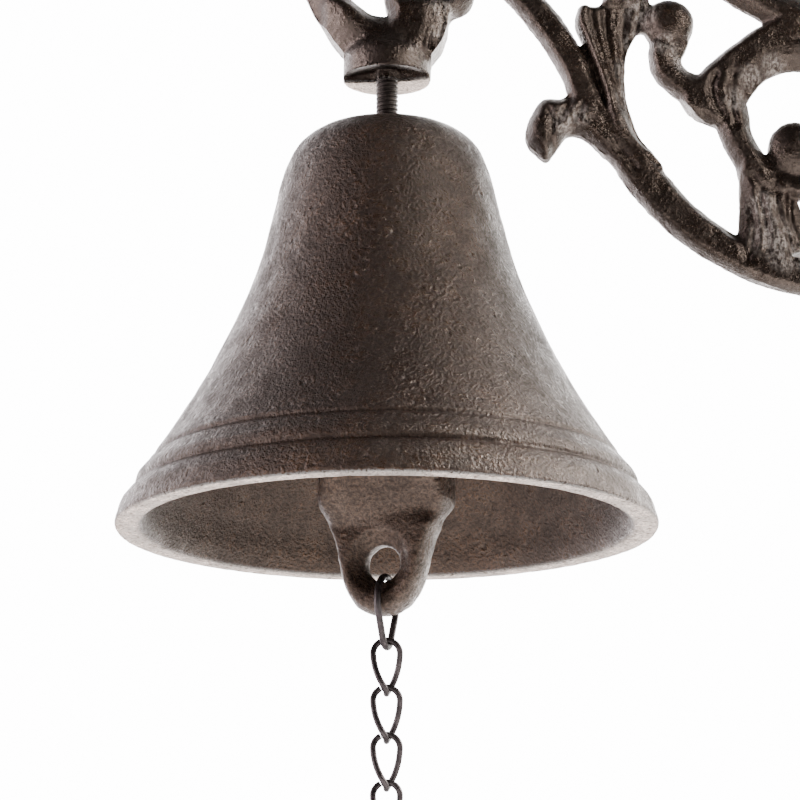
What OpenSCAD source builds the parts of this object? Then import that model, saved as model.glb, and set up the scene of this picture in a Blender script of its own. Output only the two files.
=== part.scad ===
// Wall mounted bell: a cast scroll bracket carries a threaded eye bolt, the bell hangs
// on a washer and nut under its crown, and a clapper inside is worked by a hanging chain.
// Units are millimetres. +X points at the wall, -Y is the front, +Z is up.
// The origin is the middle of the wall plate's rear face.

/* [Bell] */
// width of the bell across its mouth
mouth_d = 150; // [120:1:200]
// height of the bell from mouth to crown
bell_h = 117; // [100:1:140]
// width of the flat land round the mouth
lip_land = 7; // [4:0.5:10]
// thickness of the bell at its crown
crown_t = 7.5; // [4:0.5:10]
// width of the hole through the crown
crown_hole_d = 8; // [7:0.1:12]
// depth of the grooves round the lip
groove_depth = 0.8; // [0.2:0.1:1.5]

/* [Bracket] */
// distance from the wall to the bell's axis
reach = 150; // [140:1:170]
// height of the wall plate's middle above the bell's mouth
plate_mid = 115; // [100:1:130]
// height of the wall plate
plate_h = 146; // [130:1:180]
// width of the wall plate
plate_w = 36; // [28:1:50]
// thickness of the wall plate
plate_t = 6; // [4:0.5:10]
// thickness of the scrollwork, front to back
scroll_t = 9.5; // [7:0.5:13]
// thickness of the leaves, front to back
leaf_t = 12; // [9:0.5:15]
// thickness of the two arms that meet over the boss
arm_t = 17; // [12:0.5:20]
// width of the boss over the bell
boss_d = 25; // [20:0.5:30]

/* [Wall screws] */
// distance between the two screw holes
hole_gap = 126; // [110:1:150]
// width of each screw hole
hole_d = 6.5; // [5:0.1:8]
// width of each screw hole's countersink
sink_d = 12.5; // [9:0.5:14]

/* [Eye bolt] */
// width of the bolt over its thread
bolt_d = 6.3; // [5:0.05:8]
// width of the bar the eye is bent from
eye_bar_d = 5.2; // [4:0.1:6]
// width of the nut across its flats
nut_af = 11.1; // [10:0.1:13]
// thickness of the nut
nut_t = 5.5; // [4:0.1:7]
// width of the washer
washer_d = 16; // [13:0.5:22]
// thickness of the washer
washer_t = 1.6; // [1:0.1:2.5]

/* [Clapper] */
// width of the clapper's drum
clapper_d = 38; // [30:1:44]
// how far the clapper hangs turned from straight ahead, in degrees
clapper_turn = -20; // [-30:1:30]
// width of the hole through the clapper's tongue
tongue_hole_d = 10; // [8:0.5:11]
// thickness of the clapper's tongue
tongue_t = 11.6; // [10:0.2:14]

/* [Chain] */
// width of the chain's wire
wire_d = 1.7; // [1.4:0.05:2]
// width of a chain link over its wire
link_w = 9.1; // [8:0.1:11]
// length of a chain link over its wire
link_l = 16.45; // [15:0.05:19]
// gap between one link's wire and the next where they hang on each other
link_gap = 0.08; // [0.05:0.01:0.15]
// width of the pull ring's wire
ring_wire_d = 3; // [2:0.1:4]
// width of the pull ring over its wire
ring_d = 30; // [24:1:40]

/* [Hidden] */
$fn = 96;

fit = 0.05;            // running fit, on the radius
past = 1;              // how far a cutter goes past the faces it cuts
sink_lap = 0.01;       // how far the countersink's two cutters share
washer_play = 0.35;    // the washer's bore clears the bolt by this, on the radius
mouth_r = mouth_d / 2;
axis_x = -reach;       // the bell's axis
mouth_z = -plate_mid;  // the plane of the bell's mouth

// heights above the mouth plane
crown_in = bell_h - crown_t;
boss_z = 130.3;        // the boss's flat underside
boss_h = 7.5;          // its straight side
boss_neck_h = 7;       // the cone above that, up into the arms
boss_neck_r = 8;
draw_up = 0.5;         // how far the scrollwork's drawing is lifted
boss_r = boss_d / 2;
stud_in = 12;          // how far the stud goes up into the boss
bore_spare = 0.5;      // room left above the stud's end
stud_top = boss_z + stud_in;
washer_z = crown_in - washer_t;
nut_z = washer_z - nut_t;
eye_r = 7.2;                                   // radius to the middle of the eye's bar
eye_drop = 12.4;
eye_z = nut_z - eye_drop;                      // middle of the eye
eye_low = eye_z - eye_r;                       // middle of the bar at the eye's bottom
hang_wire = 3;
hang_r = 5;                                    // radius to the middle of the hanger's bends
hang_top = eye_low + eye_bar_d / 2 + hang_wire / 2 + link_gap;
hang_l = 15;                                   // length of the hanger between wire middles
hang_low = hang_top - hang_l;
lug_r = 3;                                     // radius of the hole in the clapper's lug
lug_wall = 3;                                  // metal round that hole
lug_step = 6;                                  // from the hole down to the lug's root
lug_sag = 0.66;                                // room for the hanger's bend in the lug
lug_z = hang_low - (lug_r - hang_wire / 2 - link_gap - lug_sag);
lug_t = 4.4;
lug_room = 8;                                  // room for the hanger's bend each side of the lug
lug_root_w = 11.2;                             // width of the lug where it leaves the clapper

tongue_z = -9.6;                               // middle of the hole in the tongue
dish_r = 10.6;                                 // radius of the dished hollow round it
dish_deep = 5;
coupling_wire = 1.9;
coupling_r = 7.3;                              // radius to the middle of its upper bend
coupling_low_r = 3.4;                          // radius to the middle of its lower bend
coupling_sag = 0.5;                            // room for its bend in the tongue's round hole
coupling_l = 19.4;                             // its length between wire middles
coupling_top = tongue_z - tongue_hole_d / 2 + coupling_wire / 2 + coupling_sag;
coupling_low = coupling_top - coupling_l;
side_lap = 0.2;                                // how far its sides run into its bends
side_slack = 0.04;                             // how much thinner the sides are than the bends

link_half = (link_l - wire_d) / 2;             // half length between wire middles
link_bend = (link_w - wire_d) / 2;             // radius to the middle of a bend
link_pitch = 2 * link_half - wire_d - link_gap;
link_count = 12;
first_top = coupling_low + coupling_wire / 2 + wire_d / 2 + link_gap;
link_hold = 1.7;                               // length at the top that isn't twisted
twist_total = 90;
twist_ease = 1.3;                              // over 1, most of the twist is in the lower half
link_sides = 10;
bend_steps = 9;
side_steps = 7;
last_low = first_top - (link_count - 1) * link_pitch - 2 * link_half;
ring_r = (ring_d - ring_wire_d) / 2;
ring_top = last_low + wire_d / 2 + ring_wire_d / 2 + link_gap;

// the bell's outside, as [radius, height] pairs for a mouth 75 in radius and 117 high
bell_line = [[75, 0], [74.7, 2], [72.9, 6], [70.2, 10.4], [67.6, 14.6], [65.1, 18.6],
  [60.7, 25], [54.5, 35], [48.9, 45], [43.9, 55], [39.5, 65], [36, 75], [33.5, 84],
  [31.6, 92], [30, 99], [28, 105], [25.2, 110], [19.6, 114.2], [12, 116.4], [0, 117]];
line_steps = 3;

function lerp(a, b, t) = a + (b - a) * t;
// a smooth curve through four points, at share t of the way from b to c
function through(a, b, c, d, t) = 0.5 * (2 * b + (c - a) * t
  + (2 * a - 5 * b + 4 * c - d) * t * t + (3 * b - a - 3 * c + d) * t * t * t);
// the points of a smooth curve through a list, n steps between neighbours
function curve(p, n) = [for (i = [0 : len(p) - 2]) for (k = [0 : n - (i < len(p) - 2 ? 1 : 0)])
  through(p[max(i - 1, 0)], p[i], p[i + 1], p[min(i + 2, len(p) - 1)], k / n)];
function flat(v) = [v[0], v[1]];
function unit(v) = v / norm(v);
// the side of a strip: each point moved across the strip by its own half width
function edge_of(c, side) = [for (i = [0 : len(c) - 1])
  let (d = unit(flat(c[min(i + 1, len(c) - 1)]) - flat(c[max(i - 1, 0)])))
  flat(c[i]) + [-d[1], d[0]] * side * c[i][2] / 2];

// everything that hangs from the bell's axis is drawn from the middle of the mouth
module on_axis() {
  translate([axis_x, 0, mouth_z]) children();
}

// a drawing in X and Z, given a thickness front to back
module plate(t) {
  translate([0, t / 2, 0]) rotate([90, 0, 0]) linear_extrude(t) children();
}

// a strip that follows a curve through [x, z, width] points
module strip(p) {
  c = curve(p, 4);
  left = edge_of(c, 1);
  right = edge_of(c, -1);
  polygon(concat(left, [for (i = [len(right) - 1 : -1 : 0]) right[i]]));
}

// a leaf drawn through its outline points
module leaf(p) {
  n = len(p);
  polygon([for (i = [0 : n - 1]) for (k = [0 : 2])
    through(p[(i + n - 1) % n], p[i], p[(i + 1) % n], p[(i + 2) % n], k / 3)]);
}

// scrollwork, as [x, z, width] measured from the bell's axis and the mouth plane
lower_arm = [[63.5, 113.4, 11.5], [68.3, 107.8, 10.8], [72, 102, 11.2], [76, 96.8, 11],
  [81.1, 91, 10.5], [88.2, 84.6, 10.2], [96.1, 79.5, 9.9], [103.8, 75.7, 9.9], [111.7, 72.8, 9.7],
  [121, 70.8, 10.2], [131, 70, 12], [141, 70, 15], [146, 70, 20]];
main_arm = [[66, 111, 11], [60.2, 118, 10], [56.4, 124.7, 9.2], [54.2, 131.4, 8.6],
  [51.4, 137.6, 8.8], [46.4, 145.7, 9], [41, 152.8, 8.7], [35.2, 158.8, 8.6], [28, 163.2, 8.8],
  [19.8, 165.4, 9.4], [12, 164.8, 10.4], [6.4, 160.9, 11], [5.2, 155.2, 12.2], [6.7, 150.4, 12.8],
  [6.2, 145, 13.6], [4, 140, 16]];
front_scroll = [[-2, 139.6, 18], [-7.6, 142.6, 14], [-12.6, 147.8, 11.6], [-16.6, 153.6, 11],
  [-19.2, 160.5, 10], [-17.6, 168, 9], [-11.4, 172.6, 8], [-4.4, 171.8, 7], [-0.8, 167, 6.4],
  [-2.6, 162.6, 6]];
s_scroll = [[80.4, 147, 13], [80.6, 142, 11], [79.3, 137.2, 9.4], [80.1, 133, 9],
  [82.6, 130.2, 8.4], [86.3, 127.4, 9.4], [91, 124.4, 12.5], [95.4, 122, 13]];
branch = [[89, 123.5, 12], [95.2, 130, 11.6], [101.6, 136.2, 10.6], [109, 141.5, 10.4],
  [117, 145.6, 11], [126, 148.6, 11], [136, 150, 12], [146, 150.4, 18]];
top_scroll = [[121, 147.5, 11], [114, 150.4, 11], [108.2, 153.4, 10.4], [100.9, 157.6, 9.8],
  [94.6, 162.4, 9.2], [90.4, 168.4, 8.6], [90.4, 176, 8], [96, 181.4, 7.4], [103.4, 180.4, 6.8],
  [105.4, 174.4, 6.2], [101.4, 170.6, 6]];
stem = [[95.8, 123, 12.5], [97.6, 119.3, 10.5], [98.5, 115.2, 9.1], [100.2, 110.5, 8.4],
  [103.4, 104.6, 9.4], [106.4, 97, 14.2], [108.2, 88, 18.4], [109, 78, 21.5]];
ring_scroll = [[103.4, 103, 9], [110.4, 99.6, 8.6], [118.4, 98.8, 8.2], [126.4, 101, 8],
  [132.6, 106.6, 8], [135.8, 114.6, 8], [135, 123.6, 8], [130.6, 131.4, 8.4],
  [122.8, 136.6, 9], [113.6, 137.6, 9.4], [105.4, 134.4, 9.4], [99.4, 128.6, 10.5], [96.2, 123.4, 11]];
wall_tie = [[134, 118.5, 10], [140, 118.5, 11], [146, 118.5, 15]];
low_leaf = [[58, 123.8], [50.9, 124.6], [49.2, 124], [45.4, 124.4], [43.4, 123.2], [41.8, 120.8],
  [40, 116.9], [39.2, 113.4], [40.1, 110.4], [42.3, 107.9], [45.1, 105.9], [47.3, 108.3],
  [49.2, 110.8], [49.9, 112.2], [51.4, 113.4], [53.4, 113.6], [55.8, 112.8], [58.4, 110.4],
  [61.2, 108.2], [66, 106.8], [66, 112]];
tall_leaf = [[78, 104], [72.6, 111.3], [70.4, 115.4], [68.8, 120.2], [67.8, 126], [67.6, 131.5],
  [68, 137], [70, 141.9], [71.7, 144.2], [74.6, 145.2], [76, 149], [75, 154], [73, 159.6],
  [69.4, 165], [65.4, 168.8], [63.8, 163.6], [62.4, 157.6], [61.4, 153.2], [60, 152],
  [57.8, 152.4], [55.6, 152.4], [54.4, 150.6], [53.8, 146.4], [57.2, 138], [59.7, 130],
  [61.4, 124], [62.6, 118.6], [66, 112]];
boss_leaf = [[11, 160], [17.2, 157], [17.5, 147], [16.7, 143.2], [15.5, 140.2], [13.7, 137.6],
  [12, 135.6], [9.4, 136.6], [10.8, 140], [12.8, 144], [13, 149], [11.4, 154]];
curl_leaf = [[27, 163], [25, 155], [24.1, 152.6], [22.8, 150.7], [20.9, 149.6], [18.8, 149.4],
  [17.2, 150.4], [16.6, 154], [17, 163]];
scroll_eyes = [[80.4, 146.7, 7.2], [116, 109.2, 8.1], [-5, 164.8, 4.6], [101.4, 172.4, 4.6]];

module scroll_drawing() {
  for (p = [lower_arm, main_arm, front_scroll, s_scroll, branch, top_scroll, stem,
      ring_scroll, wall_tie]) {
    strip(p);
  }
  for (c = scroll_eyes) {
    translate([c[0], c[1]]) circle(c[2]);
  }
}

module leaf_drawing() {
  for (p = [low_leaf, tall_leaf, boss_leaf, curl_leaf]) {
    leaf(p);
  }
}

// the ends of the two arms that rise from the boss
module arm_drawing() {
  strip([for (i = [0 : 4]) front_scroll[i]]);
  strip([for (i = [12 : len(main_arm) - 1]) main_arm[i]]);
}

module wall_plate() {
  translate([-plate_t, -plate_w / 2, -plate_h / 2]) {
    cube([plate_t, plate_w, plate_h]);
  }
}

module screw_hole(z) {
  translate([-plate_t - past, 0, z]) rotate([0, 90, 0]) {
    cylinder(d = hole_d, h = plate_t + 2 * past);
  }
  translate([-plate_t, 0, z]) rotate([0, 90, 0]) {
    cylinder(d1 = sink_d, d2 = 0, h = sink_d / 2);
  }
  translate([-plate_t - past, 0, z]) rotate([0, 90, 0]) {
    cylinder(d = sink_d, h = past + sink_lap);
  }
}

module bracket() {
  color([0.13, 0.11, 0.10]) difference() {
    union() {
      on_axis() translate([0, 0, draw_up]) {
        plate(scroll_t) scroll_drawing();
        plate(leaf_t) leaf_drawing();
        plate(arm_t) arm_drawing();
      }
      on_axis() translate([0, 0, boss_z]) cylinder(r = boss_r, h = boss_h);
      on_axis() translate([0, 0, boss_z + boss_h]) {
        cylinder(r1 = boss_r, r2 = boss_neck_r, h = boss_neck_h);
      }
      wall_plate();
    }
    on_axis() translate([0, 0, boss_z - past]) {
      cylinder(d = bolt_d + 2 * fit, h = stud_in + bore_spare + past);
    }
    for (s = [-1, 1]) {
      screw_hole(s * hole_gap / 2);
    }
  }
}

module turned() {
  rotate([0, 0, clapper_turn]) children();
}

module eye_bolt() {
  color([0.17, 0.15, 0.14]) on_axis() turned() {
    union() {
      translate([0, 0, eye_z + eye_r]) cylinder(d = bolt_d, h = stud_top - eye_z - eye_r);
      translate([0, 0, eye_z]) rotate([90, 0, 0]) {
        rotate_extrude() translate([eye_r, 0]) circle(d = eye_bar_d);
      }
    }
  }
}

module washer() {
  color([0.20, 0.18, 0.17]) on_axis() translate([0, 0, washer_z]) {
    difference() {
      cylinder(d = washer_d, h = washer_t);
      translate([0, 0, -past]) cylinder(d = bolt_d + 2 * washer_play, h = washer_t + 2 * past);
    }
  }
}

module nut() {
  color([0.20, 0.18, 0.17]) on_axis() translate([0, 0, nut_z]) difference() {
    intersection_for (a = [0, 60, 120]) {
      rotate([0, 0, a]) translate([-nut_af / 2, -nut_af, 0]) cube([nut_af, 2 * nut_af, nut_t]);
    }
    translate([0, 0, -past]) cylinder(d = bolt_d + 2 * fit, h = nut_t + 2 * past);
  }
}

bell_scale = mouth_r / 75;
tall_scale = bell_h / 117;
bell_curve = curve(bell_line, line_steps);
side_wall = 5.4;       // thickness of the bell's side, measured level
even_from = 60;        // the height from which the wall is that thick
inner_rows = 15;       // how many of the outside points the inside follows
function inner_r(i) = bell_line[i][0]
  - lerp(lip_land, side_wall, min(1, bell_line[i][1] / even_from));
crown_line = [[21.2, 106.6], [17, 108.8], [11.4, crown_in], [0, crown_in]];
// the inside line follows the outside one at the wall's thickness, up to the crown
bell_hollow = concat([[0, -past]], [[mouth_r - lip_land, -past]],
  curve([for (i = [0 : inner_rows]) [inner_r(i) * bell_scale, bell_line[i][1] * tall_scale]],
    line_steps), crown_line);
groove_lines = [10.4, 18.6];
groove_out = 0.25;     // how far a groove's middle stands outside the bell

module bell() {
  color([0.16, 0.13, 0.11]) on_axis() difference() {
    rotate_extrude() polygon(concat([[0, 0]],
      [for (p = bell_curve) [max(0, p[0]) * bell_scale, p[1] * tall_scale]]));
    rotate_extrude() polygon(bell_hollow);
    for (z = groove_lines) {
      r = lookup(z, [for (p = bell_line) [p[1], p[0]]]) * bell_scale;
      translate([0, 0, z * tall_scale]) rotate_extrude() {
        translate([r + groove_out, 0]) circle(r = groove_depth + groove_out, $fn = 24);
      }
    }
    translate([0, 0, crown_in - past]) cylinder(d = crown_hole_d, h = crown_t + 2 * past);
  }
}

// a plain oval link of round wire standing in the local Y and Z plane
module oval_link(top, low, bend, wire) {
  side = top - low - 2 * bend;
  translate([0, 0, top - bend]) rotate([90, 0, 90]) {
    rotate_extrude(angle = 180) translate([bend, 0]) circle(d = wire);
  }
  translate([0, 0, low + bend]) rotate([-90, 0, 90]) {
    rotate_extrude(angle = 180) translate([bend, 0]) circle(d = wire);
  }
  for (s = [-1, 1]) {
    translate([0, s * bend, low + bend]) cylinder(d = wire, h = side);
  }
}

module hanger_link() {
  color([0.17, 0.15, 0.14]) on_axis() turned() oval_link(hang_top, hang_low, hang_r, hang_wire);
}

drum_r = clapper_d / 2;
// the clapper's side line as [radius, height] pairs, from the tip to the lug
clapper_line = [[0, -24], [4.2, -23.4], [7.6, -21.2], [9.8, -18], [11.5, -14], [12.4, -10],
  [13.1, -6.6], [14.2, -2.5], [16.4, 2.8], [drum_r - 0.5, 6.2], [drum_r, 7.4], [drum_r, 25],
  [drum_r - 0.8, 27], [15, 30.4], [10, 34.6], [7, 39.6], [5.6, 46], [5.2, 56], [6, lug_z - 5],
  [0, lug_z - 5]];
slant_top = 30;
slant_low = 2.5;
slant_turn = 9;        // the slanted faces stand turned this far from the tongue's faces
slant_out = 0.5;       // the slanted faces run out this far beyond the drum's side
slant_rise = 0.8;      // the tongue's shoulder rises this much towards its edge
slant_lap = 0.2;       // how far the two cutters share
clear_of = 5;          // cutters reach this far past the drum's side
tongue_low = -25;      // below the tongue's tip

// a long cutter whose end is drawn in the local Y and Z plane
module cutter(end) {
  translate([-drum_r - past, 0, 0]) rotate([90, 0, 90]) {
    linear_extrude(2 * (drum_r + past)) polygon(end);
  }
}

module clapper_face(s) {
  // the tongue's flat face, and the slanted face above it, on one side of the clapper
  cutter([[s * tongue_t / 2, tongue_low], [s * tongue_t / 2, slant_low],
    [s * (drum_r + clear_of), slant_low + slant_rise], [s * (drum_r + clear_of), tongue_low]]);
  rotate([0, 0, slant_turn]) {
    cutter([[s * tongue_t / 2, slant_low - slant_lap], [s * (drum_r + slant_out), slant_top],
      [s * (drum_r + clear_of), slant_top], [s * (drum_r + clear_of), slant_low - slant_lap]]);
  }
}

module clapper() {
  color([0.24, 0.20, 0.18]) on_axis() turned() difference() {
    union() {
      rotate_extrude() polygon(clapper_line);
      translate([0, lug_t / 2, lug_z]) rotate([90, 0, 0]) cylinder(r = lug_r + lug_wall, h = lug_t);
      translate([-lug_root_w / 2, -lug_t / 2, lug_z - lug_step]) {
        cube([lug_root_w, lug_t, lug_step]);
      }
    }
    for (s = [-1, 1]) {
      clapper_face(s);
      translate([0, s * (tongue_t / 2 + dish_r - dish_deep), tongue_z]) sphere(dish_r);
      // room for the hanger's bend each side of the lug
      translate([-lug_room, s > 0 ? lug_t / 2 : -lug_t / 2 - lug_room, lug_z - lug_step]) {
        cube([2 * lug_room, lug_room, 2 * lug_room]);
      }
    }
    translate([0, past + drum_r, tongue_z]) rotate([90, 0, 0]) {
      cylinder(d = tongue_hole_d, h = 2 * drum_r + 2 * past);
    }
    translate([0, past + lug_t, lug_z]) rotate([90, 0, 0]) {
      cylinder(r = lug_r, h = 2 * lug_t + 2 * past);
    }
  }
}

// a pear-shaped link standing in the local Y and Z plane, wide at the top
module pear_link(top, low, wide, narrow, wire) {
  high = top - wide;
  deep = low + narrow;
  lean = asin((wide - narrow) / (high - deep));
  side = (high - deep) * cos(lean);
  translate([0, 0, high]) rotate([90, 0, 90]) rotate([0, 0, -lean]) {
    rotate_extrude(angle = 180 + 2 * lean) translate([wide, 0]) circle(d = wire);
  }
  translate([0, 0, deep]) rotate([90, 0, 90]) rotate([0, 0, 180 + lean]) {
    rotate_extrude(angle = 180 - 2 * lean) translate([narrow, 0]) circle(d = wire);
  }
  for (s = [-1, 1]) {
    translate([0, s * narrow * cos(lean), deep - narrow * sin(lean)]) rotate([-s * lean, 0, 0]) {
      translate([0, 0, -side_lap]) cylinder(d = wire - side_slack, h = side + 2 * side_lap);
    }
  }
}

module coupling_link() {
  color([0.14, 0.13, 0.14]) on_axis() turned() {
    pear_link(coupling_top, coupling_low, coupling_r, coupling_low_r, coupling_wire);
  }
}

// one turn of a link's middle line in its own plane, from the right of the top bend
straight = link_half - link_bend;
link_path = concat(
  [for (k = [0 : bend_steps]) let (a = 180 * k / bend_steps)
    [link_bend * cos(a), straight + link_bend * sin(a)]],
  [for (k = [1 : side_steps - 1]) [-link_bend, lerp(straight, -straight, k / side_steps)]],
  [for (k = [0 : bend_steps]) let (a = 180 + 180 * k / bend_steps)
    [link_bend * cos(a), link_bend * sin(a) - straight]],
  [for (k = [1 : side_steps - 1]) [link_bend, lerp(-straight, straight, k / side_steps)]]);
// how far the link's plane has turned at a height: none at the top, a quarter at the bottom
function twist_at(z) = twist_total
  * pow(max(0, (link_half - link_hold - z) / (2 * link_half - link_hold)), twist_ease);
function on_link(i) = let (p = link_path[i % len(link_path)], a = twist_at(p[1]))
  [p[0] * cos(a), p[0] * sin(a), p[1]];
function link_ring(i) = let (
  n = len(link_path),
  here = on_link(i),
  along = unit(on_link(i + 1) - on_link(i + n - 1)),
  a = twist_at(link_path[i % n][1]),
  across = unit(cross(along, [-sin(a), cos(a), 0])),
  over = cross(across, along))
  [for (k = [0 : link_sides - 1]) let (b = 360 * k / link_sides)
    here + wire_d / 2 * (across * cos(b) + over * sin(b))];

module twist_link(top) {
  n = len(link_path);
  points = [for (i = [0 : n - 1]) each link_ring(i)];
  faces = [for (i = [0 : n - 1]) for (k = [0 : link_sides - 1]) for (half = [0, 1])
    let (a = i * link_sides, b = ((i + 1) % n) * link_sides, m = (k + 1) % link_sides)
    half == 0 ? [a + k, a + m, b + m] : [a + k, b + m, b + k]];
  translate([0, 0, top - link_half]) polyhedron(points = points, faces = faces);
}

module chain_link(i) {
  color([0.13, 0.12, 0.13]) on_axis() twist_link(first_top - (i - 1) * link_pitch);
}

module chain_link_01() { chain_link(1); }
module chain_link_02() { chain_link(2); }
module chain_link_03() { chain_link(3); }
module chain_link_04() { chain_link(4); }
module chain_link_05() { chain_link(5); }
module chain_link_06() { chain_link(6); }
module chain_link_07() { chain_link(7); }
module chain_link_08() { chain_link(8); }
module chain_link_09() { chain_link(9); }
module chain_link_10() { chain_link(10); }
module chain_link_11() { chain_link(11); }
module chain_link_12() { chain_link(12); }

module pull_ring() {
  color([0.13, 0.12, 0.13]) on_axis() translate([0, 0, ring_top - ring_r]) {
    rotate([90, 0, 0]) rotate_extrude() translate([ring_r, 0]) circle(d = ring_wire_d);
  }
}

bracket();
eye_bolt();
washer();
nut();
bell();
hanger_link();
clapper();
coupling_link();
chain_link_01();
chain_link_02();
chain_link_03();
chain_link_04();
chain_link_05();
chain_link_06();
chain_link_07();
chain_link_08();
chain_link_09();
chain_link_10();
chain_link_11();
chain_link_12();
pull_ring();
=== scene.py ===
import math

import bpy
import numpy as np
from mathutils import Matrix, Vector, kdtree, noise


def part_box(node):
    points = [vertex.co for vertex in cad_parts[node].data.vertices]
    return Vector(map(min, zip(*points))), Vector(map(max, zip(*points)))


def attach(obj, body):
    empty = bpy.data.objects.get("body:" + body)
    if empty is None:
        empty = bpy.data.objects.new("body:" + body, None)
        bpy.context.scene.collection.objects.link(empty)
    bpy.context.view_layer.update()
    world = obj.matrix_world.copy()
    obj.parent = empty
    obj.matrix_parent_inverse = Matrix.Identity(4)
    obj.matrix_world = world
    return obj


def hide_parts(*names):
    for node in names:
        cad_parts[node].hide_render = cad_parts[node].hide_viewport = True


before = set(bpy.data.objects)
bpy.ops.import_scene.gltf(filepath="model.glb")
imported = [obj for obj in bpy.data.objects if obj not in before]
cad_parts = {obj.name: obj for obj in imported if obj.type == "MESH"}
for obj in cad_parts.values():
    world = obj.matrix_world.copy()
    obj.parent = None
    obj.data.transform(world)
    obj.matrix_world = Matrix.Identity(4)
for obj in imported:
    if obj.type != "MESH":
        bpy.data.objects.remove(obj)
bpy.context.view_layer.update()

MM = 0.001
AXIS_X, MOUTH_Z = -150.0, -115.0     # the bell's axis and the plane of its mouth, mm
TURN = math.radians(-20)             # how far the clapper and its links hang turned


# ---------------------------------------------------------------- small helpers

def through(a, b, c, d, t):
    """The place at share t between b and c, on a smooth line that also runs through a and d."""
    return 0.5 * (2 * b + (c - a) * t + (2 * a - 5 * b + 4 * c - d) * t * t
                  + (3 * b - a - 3 * c + d) * t ** 3)


def curve(points, n):
    """A smooth line through points, n steps between neighbours."""
    p = np.array(points, float)
    out = []
    for i in range(len(p) - 1):
        a, b, c, d = p[max(i - 1, 0)], p[i], p[i + 1], p[min(i + 2, len(p) - 1)]
        out += [through(a, b, c, d, k / n) for k in range(n)]
    return np.array(out + [p[-1]])


def new_object(name, verts_mm, faces, body, material):
    """A smooth-shaded piece from points in mm, on its body and in its material slot."""
    mesh = bpy.data.meshes.new(name)
    mesh.from_pydata((np.asarray(verts_mm) * MM).tolist(), [], [list(map(int, f)) for f in faces])
    mesh.update()
    mesh.validate()
    mesh.shade_smooth()
    o = bpy.data.objects.new(name, mesh)
    bpy.context.scene.collection.objects.link(o)
    mesh.materials.append(material)
    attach(o, body)
    return o


def grid_faces(rows, cols, close_rows=False):
    """Quads over a rows by cols grid of points, row by row. Each row closes on itself."""
    r = np.arange(rows if close_rows else rows - 1)
    c = np.arange(cols)
    r, c = (x.ravel() for x in np.meshgrid(r, c, indexing="ij"))
    r2, c2 = (r + 1) % rows, (c + 1) % cols
    return np.c_[r * cols + c, r * cols + c2, r2 * cols + c2, r2 * cols + c]


def rough(points, size, depth, seed=0.0, octaves=3):
    """Noise in mm at each point, mostly within depth either way, with bumps about size mm wide."""
    return np.array([noise.fractal(Vector(p) / size + Vector((seed, seed, seed)), 1.0, 2.0, octaves)
                     for p in points]) * depth


def place(points):
    """From the bell's axis and the plane of its mouth to the part's frame, in mm."""
    return np.asarray(points, float) + np.array([AXIS_X, 0.0, MOUTH_Z])


def from_mouth(points):
    """From the part's frame to the bell's axis and the plane of its mouth, in mm."""
    return points - np.array([AXIS_X, 0, MOUTH_Z])


def turned(points):
    """Points turned with the clapper round the bell's axis."""
    c, s = math.cos(TURN), math.sin(TURN)
    p = np.asarray(points, float)
    return np.c_[p[:, 0] * c - p[:, 1] * s, p[:, 0] * s + p[:, 1] * c, p[:, 2]]


# ---------------------------------------------------------------- materials

def node(tree, kind, inputs=None, **settings):
    """A node with its settings, and its inputs linked to a socket or set to a value."""
    n = tree.nodes.new(kind)
    for k, v in settings.items():
        setattr(n, k, v)
    for k, v in (inputs or {}).items():
        if isinstance(v, bpy.types.NodeSocket):
            tree.links.new(v, n.inputs[k])
        else:
            n.inputs[k].default_value = v
    return n


def ramp(tree, fac, stops):
    n = node(tree, "ShaderNodeValToRGB", {"Fac": fac})
    while len(n.color_ramp.elements) < len(stops):
        n.color_ramp.elements.new(0.5)
    for e, (at, colour) in zip(n.color_ramp.elements, stops):
        e.position = at
        e.color = (*colour, 1)
    return n.outputs["Color"]


def math_node(tree, op, a, b=None, c=None):
    n = node(tree, "ShaderNodeMath", operation=op)
    for i, v in enumerate((a, b, c)):
        if v is None:
            continue
        if isinstance(v, bpy.types.NodeSocket):
            tree.links.new(v, n.inputs[i])
        else:
            n.inputs[i].default_value = v
    return n.outputs[0]


def vector_math(tree, op, a, b=None):
    """The node's first output, or the length as a number."""
    inputs = {0: a} if b is None else {0: a, 1: b}
    n = node(tree, "ShaderNodeVectorMath", inputs, operation=op)
    return n.outputs["Value"] if op == "LENGTH" else n.outputs[0]


def mix_colours(tree, a, b, kind, share=1.0):
    n = node(tree, "ShaderNodeMix", {0: share}, data_type="RGBA", blend_type=kind)
    for socket, value in zip([i for i in n.inputs if i.type == "RGBA"], (a, b)):
        if isinstance(value, bpy.types.NodeSocket):
            tree.links.new(value, socket)
        else:
            socket.default_value = value
    return [o for o in n.outputs if o.type == "RGBA"][0]


def new_material(name):
    """A material, its node tree, its shader, and places on the object in mm."""
    m = bpy.data.materials.new(name)
    m.use_nodes = True
    t = m.node_tree
    mm = vector_math(t, "MULTIPLY", node(t, "ShaderNodeTexCoord").outputs["Object"], (1000, 1000, 1000))
    return m, t, t.nodes["Principled BSDF"], mm


def field(tree, at, scale, detail=2.0, rough_by=0.55):
    """Noise, with scale as features for each mm."""
    inputs = {"Vector": at, "Scale": scale, "Detail": detail, "Roughness": rough_by}
    return node(tree, "ShaderNodeTexNoise", inputs).outputs["Fac"]


def span(tree, value, low, high, out_low=0.0, out_high=1.0, **settings):
    """The value carried over from low...high to out_low...out_high, and held at both ends."""
    inputs = {"Value": value, "From Min": low, "From Max": high, "To Min": out_low, "To Max": out_high}
    return node(tree, "ShaderNodeMapRange", inputs, **settings).outputs[0]


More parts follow.
